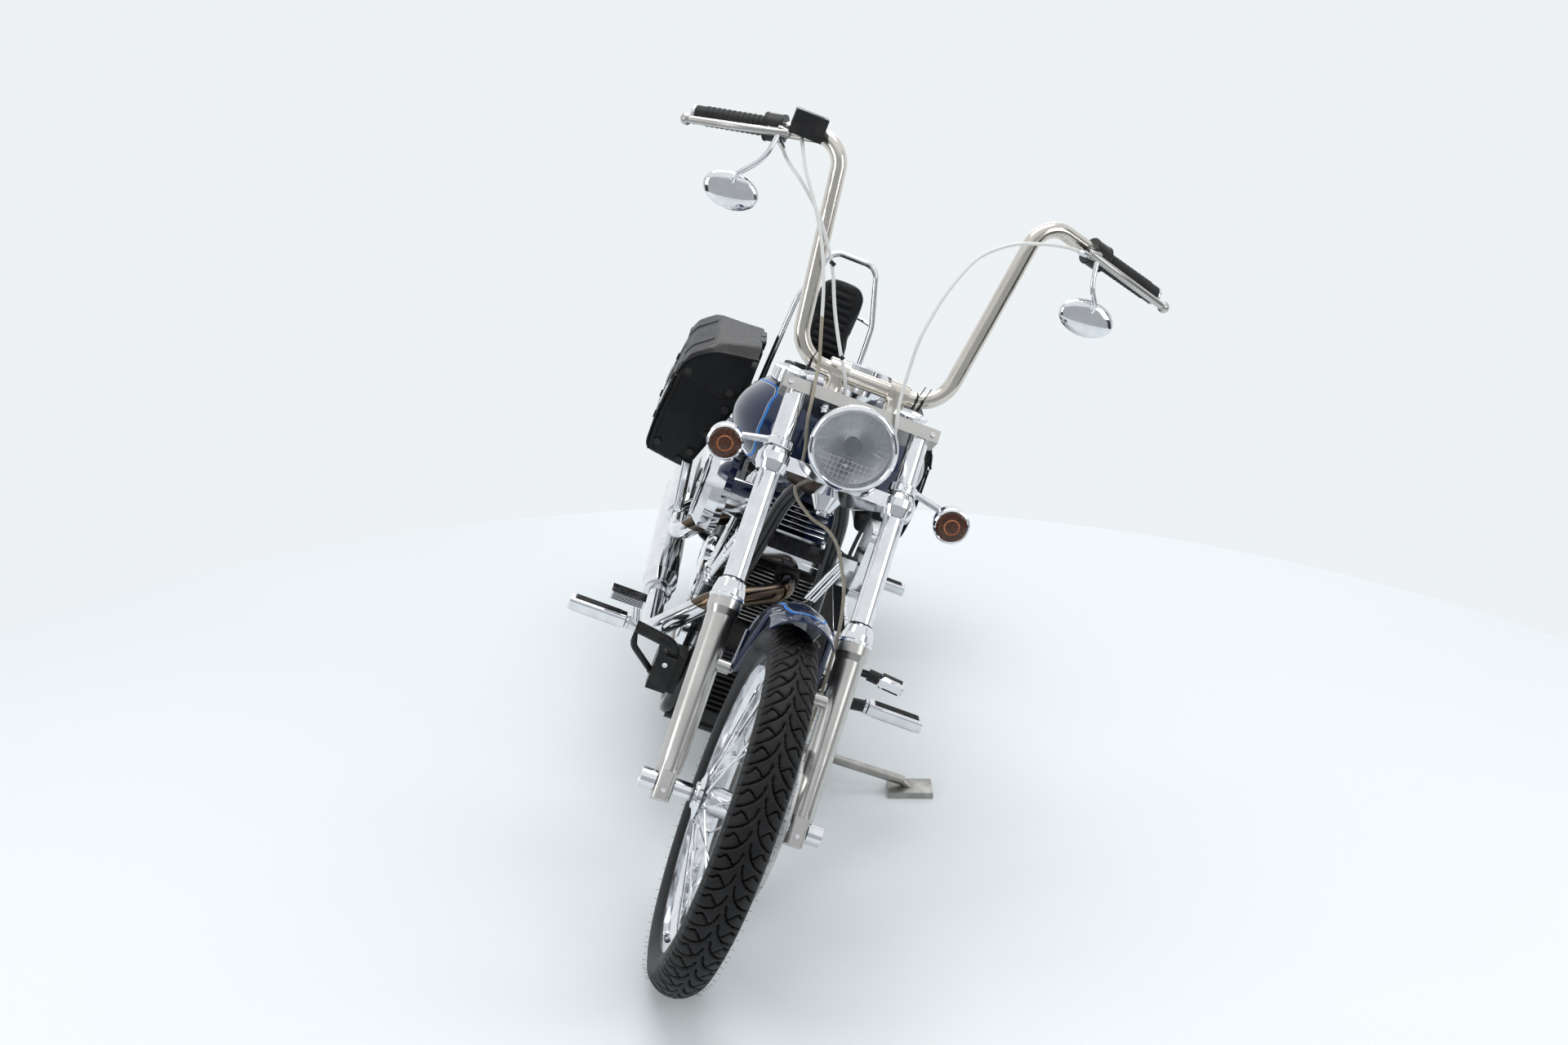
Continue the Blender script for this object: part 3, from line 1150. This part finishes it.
def hand_trim():
    """Grip ribs and end caps, housing screws and the master cylinder's lid."""
    ribs, caps, screws, black = Shape(), Shape(), Shape(), Shape()
    for s in (-1, 1):
        axis = BAR_RUN * Vector((s, 1, 1))
        for k in range(11):
            ribs.turned([(18.4, 0), (19.7, 1), (19.7, 5.5), (18.4, 6.5)], bar_end(122 - k * 10.5, s), axis, 28)
        caps.turned([(18.8, 0), (19.6, 1.5), (19.6, 5), (16, 8), (0, 9)], bar_end(-10, s), axis, 32)
        for distance in (139, 164):
            screws.socket(bar_end(distance, s) - Y * 26.5, -Y, 4.2, 3.0)
        for distance in (172, 137):
            black.turned([(27.3, 0), (28.2, 1.5), (28.2, 4), (27.3, 5)], bar_end(distance, s), axis, 32)
        black.block(bar_end(152, s) + Vector((0, 20, 14)), (14, 18, 10), 2.0)
        black.block(bar_end(152, s) + Vector((0, 22, -8)), (20, 14, 12), 2.0)
    lid = Vector((-282.3, 569.9, 1482.9))
    black.block(lid, (63, 49, 4), 1.4)
    for dx, dy in ((-26, -19), (26, 19), (-26, 19), (26, -19)):
        screws.socket(lid + Vector((dx, dy, 1.6)), Z, 3.0, 0.8)
    black.turned([(9, 0), (9, 2), (7.5, 3), (0, 3)], Vector((-282.3, 543.8, 1458)), -Y, 24)
    ribs.make("grip_ribs", "rubber", "steering")
    caps.make("grip_end_caps", "chrome", "steering")
    screws.make("hand_screws", "chrome", "steering")
    black.make("hand_trim", "satin_black", "steering")


def cable_trim():
    """Zip ties round the cables and the bar, and the ferrules of the cables."""
    ties, ferrules = Shape(), Shape()
    for place, axis, radius in (((-150, 482, 1246), (0.4, 0.1, 1), 6.2), ((-70, 446, 1090), (0.4, 0.1, 1), 5.6)):
        ties.turned([(radius - 1.6, -4), (radius, -3.5), (radius, 3.5), (radius - 1.6, 4)], place, axis, 24)
    for place, axis in (((-120, 492, 1052), X), ((100, 492, 1052), X), ((112, 492, 1052), X)):
        ties.turned([(15.7, -2), (17.4, -1.8), (17.4, 1.8), (15.7, 2)], place, axis, 28)
        ties.block(Vector(place) + Vector((0, -18, 6)), (5, 5, 8), 0.8)
        ties.tube([Vector(place) + Vector(p) for p in ((0, -18, 9), (3, -24, 26), (6, -22, 38))], 1.0, 6)
    for place, axis in (((300, 549, 1430), (-0.9, -0.45, 0.02)), ((-318, 582, 1407), (0.7, -0.6, -0.5))):
        ferrules.turned([(4.6, -10), (6.2, -8), (6.2, 6), (5.0, 10), (4.6, 12)], place, axis, 20)
    ties.make("zip_ties", "rubber", "steering")
    ferrules.make("cable_ferrules", "chrome", "steering")


def levers():
    """Flat tapered blades with round ends, along the plain bars of the hand controls."""
    shape = Shape()
    for s in (-1, 1):
        root = bar_end(172, s) + Vector((0, -48, -2))
        tip = bar_end(-26, s) + Vector((0, -62, -6))
        bend = root + (tip - root) * 0.35 + Vector((0, -12, 0))
        line = soft_line([root + (root - bend) * 0.12, root, bend, bend + (tip - bend) * 0.5, tip], 6)
        rows = []
        for i, p in enumerate(line):
            t = i / (len(line) - 1)
            run = (line[min(i + 1, len(line) - 1)] - line[max(i - 1, 0)]).normalized()
            flat = (-Y - run * run.dot(-Y)).normalized()
            thick = run.cross(flat).normalized()
            wide = 9.5 + 4.5 * exp(-((t - 0.30) / 0.2) ** 2) - 1.0 * t
            high = 7.9 - 0.4 * t
            rows.append([p + flat * copysign(abs(cos(a)) ** 0.7, cos(a)) * wide
                         + thick * copysign(abs(sin(a)) ** 0.8, sin(a)) * high
                         for a in turns(20)])
        shape.rows(rows, around=True)
        run = (line[-1] - line[-2]).normalized()
        shape.turned([(11.8 * sin(pi * k / 12), -11.8 * cos(pi * k / 12)) for k in range(13)],
                     tip, run, 28)
        shape.block(root + Vector((s * 3, 2, 0)), (26, 22, 19), 2.5)
    shape.make("levers", "satin_alloy", "steering", 40)


def hoses():
    """Hose and cables at their true thickness, the plain solid's skin drawn in, and the bar with a soft sheen."""
    for node, distance, name in (("brake_hose", 1.1, "brake_line"), ("bar_cables", 0.5, "cable_pair"),
                                 ("handlebar", 0.0, "bent_bar")):
        mesh = NODES[node].data.copy()
        with edited(mesh) as bm:
            bmesh.ops.remove_doubles(bm, verts=bm.verts[:], dist=0.00002)
            bm.normal_update()
            for v, normal in [(v, v.normal.copy()) for v in bm.verts]:
                v.co -= normal * distance * MM
        dress(mesh, name, material(*NODE_FINISH[node]), "steering", 60, replaces=(node,))


def cable_bridge():
    """Short run of the clutch cable that bends as the steering turns."""
    points = [Vector(p) for p in ((89, 439, 889), (90, 443, 866), (95, 445, 840), (99, 444, 811))]
    run = Shape().tube(points, 3.6, 14).make("clutch_cable_bend", "rubber", None)
    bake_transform(run)


FORK_HALF = 127.0
FORK_TUBE_R, SLIDER_R = 20.6, 26.5
TUBE_LOW, TUBE_TOP = 62.0, 802.0
FRONT_DISC_X, REAR_DISC_X = 82.0, -88.0
CALIPER_DEG = -110.0


def steering_bolts():
    """Smooth fork tubes with their seals, the bolts of the fork and the caps of the front caliper."""
    chrome_bolts, legs, seals = Shape(FORK), Shape(FORK), Shape(FORK)
    for s in (-1, 1):
        leg = (s * FORK_HALF, 0, 0)
        legs.turned([(0, TUBE_LOW), (FORK_TUBE_R, TUBE_LOW), (FORK_TUBE_R, TUBE_TOP), (0, TUBE_TOP)], leg, Z, 96)
        seals.turned([(20.4, 395.6), (22, 395.9), (21.6, 397), (20.4, 397.6)], leg, Z, 40)
        chrome_bolts.socket((s * 146, 24, 793), Y, 5.0, 4)
        chrome_bolts.turned([(FORK_TUBE_R, 802), (FORK_TUBE_R, 806), (14, 808.5), (8, 808.5), (7, 804), (0, 804)],
                            leg, Z, 32)
        chrome_bolts.bolt((s * 83.5, 6, 235), (-s, 0, 0), 7.5, 6)
        chrome_bolts.socket((s * FORK_HALF, 21, -14), Y, 4.8, 3)
        chrome_bolts.turned([(19.2, 0), (19.2, 1.5), (17, 3), (10, 3), (9, -2), (0, -2)], (s * 170, 0, 0),
                            (s, 0, 0), 36)
        chrome_bolts.turned([(SLIDER_R + 5.6, 354), (SLIDER_R + 7, 355.5), (SLIDER_R + 7, 360),
                             (SLIDER_R + 5.6, 361.5)], leg, Z, 48)
        chrome_bolts.turned([(27.4, 663), (28.6, 664.5), (28.6, 679), (27.4, 680.5)], leg, Z, 40)
        chrome_bolts.socket((s * FORK_HALF, 27, 672), Y, 4.2, 4)
        chrome_bolts.bolt((s * 62, -18, 780), (0, 0, -1), 7, 6)
    chrome_bolts.turned([(24, 0), (24, 6), (20, 10), (8, 13), (0, 13.5)], (0, -65, 806), Z, 40)
    chrome_bolts.bolt((0, -65, 598), (0, 0, -1), 10, 7)
    chrome_bolts.make("fork_bolts", "chrome", "steering")
    seals.make("fork_seals", "rubber", "steering")
    legs.make("fork_legs", "chrome", "steering", replaces=("fork_tubes",))
    caliper = Shape(FRONT_WHEEL)
    turn = Matrix.Rotation(radians(CALIPER_DEG), 4, "X")
    for along in (-26, 26):
        for s in (-1, 1):
            p = turn @ Vector((0, along, 124)) + X * (FRONT_DISC_X + s * 28)
            caliper.turned([(15, -1), (15, 1.2), (12.5, 2.2), (6, 2.2), (5, 0.8), (0, 0.8)], p, (s, 0, 0), 28)
    for along in (-48, 48):
        caliper.socket(turn @ Vector((0, along, 140)) + X * (FRONT_DISC_X + 22), X, 6, 5)
    caliper.make("caliper_caps", "satin_alloy", "steering")


def disc_trim(name, wheel_space, x, side, body):
    """Carrier bolts on the hub and the floating buttons between carrier and disc ring."""
    bolts, slots = Shape(wheel_space), Shape(wheel_space)
    for a in turns(5):
        bolts.bolt(X * (x + side * 3) + wheel_out(a + pi / 5) * 50, (side, 0, 0), 6, 4)
        for s in (-1, 1):
            bolts.turned([(8, 0), (8, 1.1), (5, 1.6), (0, 1.6)], X * (x + s * 2.8) + wheel_out(a) * 103, (s, 0, 0), 24)
    for i, a in enumerate(turns(30)):
        for s in (-1, 1):
            slots.turned([(3.4, -0.4), (3.4, 0.12), (0, 0.12)],
                         X * (x + s * 2.75) + wheel_out(a) * (112, 124, 136)[i % 3], (s, 0, 0), 14)
    bolts.make(name + "_bolts", "chrome", body)
    slots.make(name + "_holes", "engine_black", body)


def spoke_nipples(name, wheel_space, rim_r, body):
    """Nipples where the spokes meet the rim, and the valve."""
    shape = Shape(wheel_space)
    for s in (-1, 1):
        for a in turns(20, 0.25 if s > 0 else 0.75):
            out = wheel_out(a)
            shape.turned([(2.2, 0), (3.3, 1), (3.3, 10), (4.2, 13)], out * (rim_r - 31) + X * (s * 5), out, 10)
    out = Vector((0, 0.1, 0.995)).normalized()
    shape.turned([(3.2, 0), (3.2, 22), (4.4, 23), (4.4, 34)], out * (rim_r - 52), out, 14)
    shape.make(name + "_nipples", "chrome", body)


# Engine trim

def cylinder_space(lean):
    a = radians(22.5) * lean
    up = UP * cos(a) + BACK * sin(a)
    back = BACK * cos(a) - UP * sin(a)
    return space(CHASSIS @ Vector((0, 835, 321)), LEFT, back, up)


def fin_edges():
    """Bright machined edges of the black fins, cut where the two cylinders meet."""
    inverse = CHASSIS.inverted()
    for lean, name in ((-1, "front"), (1, "rear")):
        frame_space = cylinder_space(lean)
        shape = Shape(frame_space)
        fins = [(136 + i * 11.5, 86, 74, 34) for i in range(9)]
        fins += [(136 + 9 * 11.5 + 6 + i * 11.5, 98, 80, 24) for i in range(6)]
        for along, half_x, half_y, corner in fins:
            outline = []
            for sx, sy in ((1, 1), (-1, 1), (-1, -1), (1, -1)):
                a, b = (sx * half_x, sy * (half_y - corner)), (sx * (half_x - corner), sy * half_y)
                outline += [a, b] if sx * sy > 0 else [b, a]
            dense = []
            for (ax, ay), (bx, by) in zip(outline, outline[1:] + outline[:1]):
                for k in range(6):
                    dense.append((ax + (bx - ax) * k / 6, ay + (by - ay) * k / 6))
            run = []
            for x, y in dense + dense[:1]:
                chassis_y = (inverse @ (frame_space @ Vector((x, y, along)))).y
                if (chassis_y - 835) * lean > 3.5:
                    run.append((x, y))
                    continue
                if len(run) > 1:
                    edge_band(shape, run, along)
                run = []
            if len(run) > 1:
                edge_band(shape, run, along)
        shape.make(name + "_fin_edges", "satin_alloy", "chassis", 20)


def edge_band(shape, run, along):
    rows = []
    for x, y in run:
        out = Vector((x, y, 0)).normalized() * 0.35
        p = Vector((x, y, along))
        rows.append([p - out * 4 - Z * 0.05, p + out + Z * 0.3, p + out + Z * 2.9, p - out * 4 + Z * 3.25])
    shape.rows(rows)


def engine_trim():
    bolts = Shape()
    for t in turns(12):
        y, z = (835, 321) if cos(t) < 0 else (1180, 330)
        radius = 99 if cos(t) < 0 else 108
        bolts.socket((220, y + radius * cos(t), z + radius * sin(t)), X, 4.6, 5)
    for y in (925, 1010, 1095):
        for z in (425, 221):
            bolts.socket((220, y, z + (y - 835) * 0.026), X, 4.6, 5)
    for a in turns(5, 20 / 72):
        bolts.socket((236, 1180 + 66 * cos(a), 330 + 66 * sin(a)), X, 4, 4)
        bolts.socket((-125, 827 + 79 * cos(a), 339 + 79 * sin(a)), -X, 4.4, 4)
        bolts.socket((-116, 1160 + 76 * cos(a), 345 + 76 * sin(a)), -X, 4.4, 4)
    bolts.turned([(56, 0), (56, 1.5), (52, 2.4), (40, 2.4), (38, 0)], (-140, 827, 339), -X, 56)
    bolts.turned([(64, 0), (66, 2.4), (70, 2.4), (72, 0)], (-211, 838, 636), -X, 64)
    bolts.bolt((-214, 838, 636), -X, 7, 4)
    for y, z, start in ((1006, 300, -204), (1306, 400, -204)):
        bolts.turned([(30, 0), (33.5, 1), (33.5, 12), (31, 13)], (start, y - 8, z), Y, 40)
        bolts.block((start, y - 2, z - 36), (12, 10, 8), 1.5)
        bolts.bolt((start + 6, y - 2, z - 36), X, 4, 3, False)
    bolts.make("engine_bolts", "chrome", "chassis")
    Shape().turned([(0, 0), (60, 0), (62, 1.2), (58, 2.0), (0, 2.4)], (-213.2, 838, 636), -X, 64).make(
        "air_cleaner_inset", "blue_paint", "chassis")
    for lean, name in ((-1, "front"), (1, "rear")):
        ribs = Shape(cylinder_space(lean))
        for y in (-36, -18, 0, 18, 36):
            ribs.block((-2, y, 398.5), (128, 7, 4), 1.4)
        for y in (-60, 60):
            ribs.block((-2, y, 385), (150, 4, 5), 1.2)
        for x in (-68, 64):
            for y in (-48, 48):
                ribs.socket((x, y, 396), Z, 5, 4)
        for x, y in ((-104, -50), (-104, 0), (-104, 50), (100, -50), (100, 0), (100, 50)):
            ribs.bolt((x * 0.965, y, 363.8), Z, 4.2, 4, False)
        for y in (-82, 82):
            ribs.block((-2, y * 0.985, 350), (170, 3, 4), 1.0)
        ribs.make(name + "_rocker_trim", "chrome", "chassis")
        plugs = Shape(cylinder_space(lean))
        plugs.turned([(10, 0), (10, 6), (6, 8), (6, 22), (7.5, 24), (7.5, 40), (5, 44), (0, 44)], (84, 18 * lean, 268),
                     (0.8, 0, 0.6), 20)
        plugs.make(name + "_plug_cap", "rubber", "chassis")
    ribs = Shape()
    for z in (560, 580, 600, 620, 640):
        ribs.block((238.6, 835, z + 6), (3, 74, 6), 1.2)
    ribs.make("horn_ribs", "chrome", "chassis")
    cuffs = Shape()
    for lean in (-1, 1):
        for k in (-1, 1):
            low = Vector((-122, 835 + lean * 40 + k * 14, 452))
            a = radians(22.5) * lean
            high = Vector((-92, 835, 321)) + wheel_out(a) * 335
            high += Vector((0, cos(a), -sin(a))) * (k * 26)
            run = (high - low).normalized()
            for distance, radius in ((4, 12), (16, 10.5), (92, 10), (150, 10.5)):
                cuffs.turned([(7, 0), (radius, 1.5), (radius, 7), (7, 9)], low + run * distance, run, 24)
    cuffs.make("pushrod_cuffs", "chrome", "chassis")


def foot_trim():
    rubber, bolts = Shape(), Shape()
    for s in (-1, 1):
        for dz in (14.4, -14.4):
            rubber.block((s * 334, 550, 390 + dz), (100, 22, 1.8), 0.6)
            for k in range(4):
                rubber.block((s * 334, 550 + (k - 1.5) * 5.4, 390 + dz * 1.07), (92, 2.6, 1.4), 0.5)
        bolts.bolt((s * 146, 577, 322), -Y, 7, 5)
        bolts.bolt((s * 146, 604, 348), (s, 0, 0), 6, 4)
        bolts.turned([(13.4, 0), (16, 2), (16, 8), (13.4, 10)], (s * 262, 550, 389), (s, 0, 0), 28)
    for k in range(3):
        rubber.block((322, 1222 + (k - 1) * 9, 443 + 13.4), (96, 5, 1.6), 0.5)
        rubber.block((-234.5 + (k - 1) * 0.1, 1222 + (k - 1) * 9, 508), (1.6, 5, 90), 0.5)
    for k in range(5):
        rubber.block((-283, 521.6, 438 + k * 3.4), (66, 2, 1.8), 0.5)
    along, up = Vector((0.987, -0.152, -0.025)), Vector((0.02, -0.03, 1.0))
    bolts.block((290, 514.3, 468.7), (56, 31, 28), 6.0, along, up.cross(along), up)
    for dz in (14.2, -14.2):
        rubber.block(Vector((290, 514.3, 468.7)) + up * dz, (44, 16, 1.6), 0.5, along, up.cross(along), up)
    bolts.bolt((-182, 590, 276), -X, 8, 6)
    bolts.socket((-160, 557.6, 322), -Y, 6, 4)
    bolts.turned([(11, 0), (11, 2), (8, 3), (0, 3)], (-160, 590, 342.5), Z, 28)
    rubber.make("peg_rubbers", "rubber", "chassis")
    bolts.make("foot_bolts", "chrome", "chassis")


def dial():
    """Speedometer face with plain marks, its needle and bezel, and the ribbed filler caps."""
    axis = Vector((0, 0.3, 0.954)).normalized()
    centre = Vector((0, 640, 1030)) + axis * 12
    side, front = X, axis.cross(X)
    Shape().turned([(0, 0), (50, 0), (50, 0.8), (0, 0.8)], centre, axis, 64).make("dial_face", "dark_glass", "chassis")
    marks = Shape()
    for k in range(25):
        a = radians(225 - 270 * k / 24)
        out = side * cos(a) - front * sin(a)
        long = 8 if k % 2 == 0 else 4.5
        marks.block(centre + out * (46 - long / 2) + axis * 1.1, (long, 1.2 if k % 2 else 1.8, 0.5), 0.1, out,
                    axis.cross(out), axis)
    needle = (side * -0.7 - front * -0.7).normalized()
    marks.block(centre + needle * 14 + axis * 2.0, (40, 1.6, 0.8), 0.2, needle, axis.cross(needle), axis)
    marks.make("dial_marks", "white_plate", "chassis")
    bezel = Shape().turned([(49.6, -1), (50, 3.4), (54, 4.4), (58.6, 0), (58.6, -6)], centre, axis, 72)
    for s in (-1, 1):
        for a in turns(24):
            bezel.block((s * 134 + 33.6 * cos(a), 657 + 33.6 * sin(a), 978), (2.6, 2.6, 20), 0.6)
        bezel.turned([(34.3, -26), (34.3, 0), (32.5, 0.9), (0, 0.9)], (s * 134, 657, 989.6), Z, 40)
        bezel.turned([(24, 0), (26, 2), (30, 2), (32, 0)], (s * 134, 657, 989.6), Z, 40)
    bezel.make("dial_bezel", "chrome", "chassis")


def stripes():
    """Bright blue line and thin silver line round each side of the tank, and along the front guard."""
    tank = surface(NODES["fuel_tank"])
    outline = [(612, 938), (584, 886), (592, 822), (650, 788), (760, 778), (880, 786), (962, 806), (930, 852),
               (820, 906), (700, 938), (640, 948)]
    for s, hand in ((1, "left"), (-1, "right")):
        loop = soft_line([Vector((s * 400, y, z)) for y, z in outline + outline[:1]], 10)
        for k, (aside, width, finish) in enumerate(((0.0, 4.4, "stripe_blue"), (3.4, 1.8, "stripe_silver"))):
            line = []
            for i, point in enumerate(loop):
                ahead = loop[(i + 1) % len(loop)] - loop[i - 1]
                line.append(point + X.cross(ahead).normalized() * aside)
            ribbon(hand + "_tank_stripe_%d" % k, finish, "chassis", laid(tank, line, (-s, 0, 0)), width)
    guard = surface(NODES["front_fender"])
    for k, (x, low, width, finish) in enumerate(((36, 3.5, 4.4, "stripe_blue"), (33.2, 3.95, 1.8, "stripe_silver"))):
        path = [(-x, 62), (-x, 40), (-x, low + 9), (-x + 4, low + 3), (-x + 12, low), (0, low), (x - 12, low),
                (x - 4, low + 3), (x, low + 9), (x, 40), (x, 62)]
        found = []
        for p in soft_line([Vector((a, b, 0)) for a, b in path], 8):
            out = wheel_out(radians(p.y))
            found += laid(guard, [Vector((p.x * 1.25, 0, 344)) + out * 460], Vector((-p.x * 0.0022, 0, 0)) - out)
        ribbon("fender_stripe_%d" % k, finish, "steering", found, width)


# Build

FRONT_RIM_R, REAR_RIM_R = 267.0, 216.0
finish_nodes()
tyre("front_tread", FRONT_WHEEL, FRONT_AXLE_Z, 90.0, 50.0, FRONT_RIM_R, 66.0, (1296, 36), 58, 1.0, "front_wheel_body")
tyre("rear_tread", REAR_WHEEL, 328.0, 160.0, 86.0, REAR_RIM_R, 126.0, (1008, 40), 36, 1.6, "rear_wheel_body")
tyre_hairs()
seat_piece()
pommel()
backrest_piece()
for side in (1, -1):
    bag(side)
headlamp_inside()
lamps()
mirrors()
hand_trim()
cable_trim()
levers()
hoses()
cable_bridge()
steering_bolts()
disc_trim("front_disc", FRONT_WHEEL, FRONT_DISC_X, 1, "front_wheel_body")
disc_trim("rear_disc", REAR_WHEEL, REAR_DISC_X, -1, "rear_wheel_body")
spoke_nipples("front", FRONT_WHEEL, FRONT_RIM_R, "front_wheel_body")
spoke_nipples("rear", REAR_WHEEL, REAR_RIM_R, "rear_wheel_body")
fin_edges()
engine_trim()
foot_trim()
dial()
stripes()
stage()
camera()
bpy.context.scene.view_settings.view_transform = "Standard"
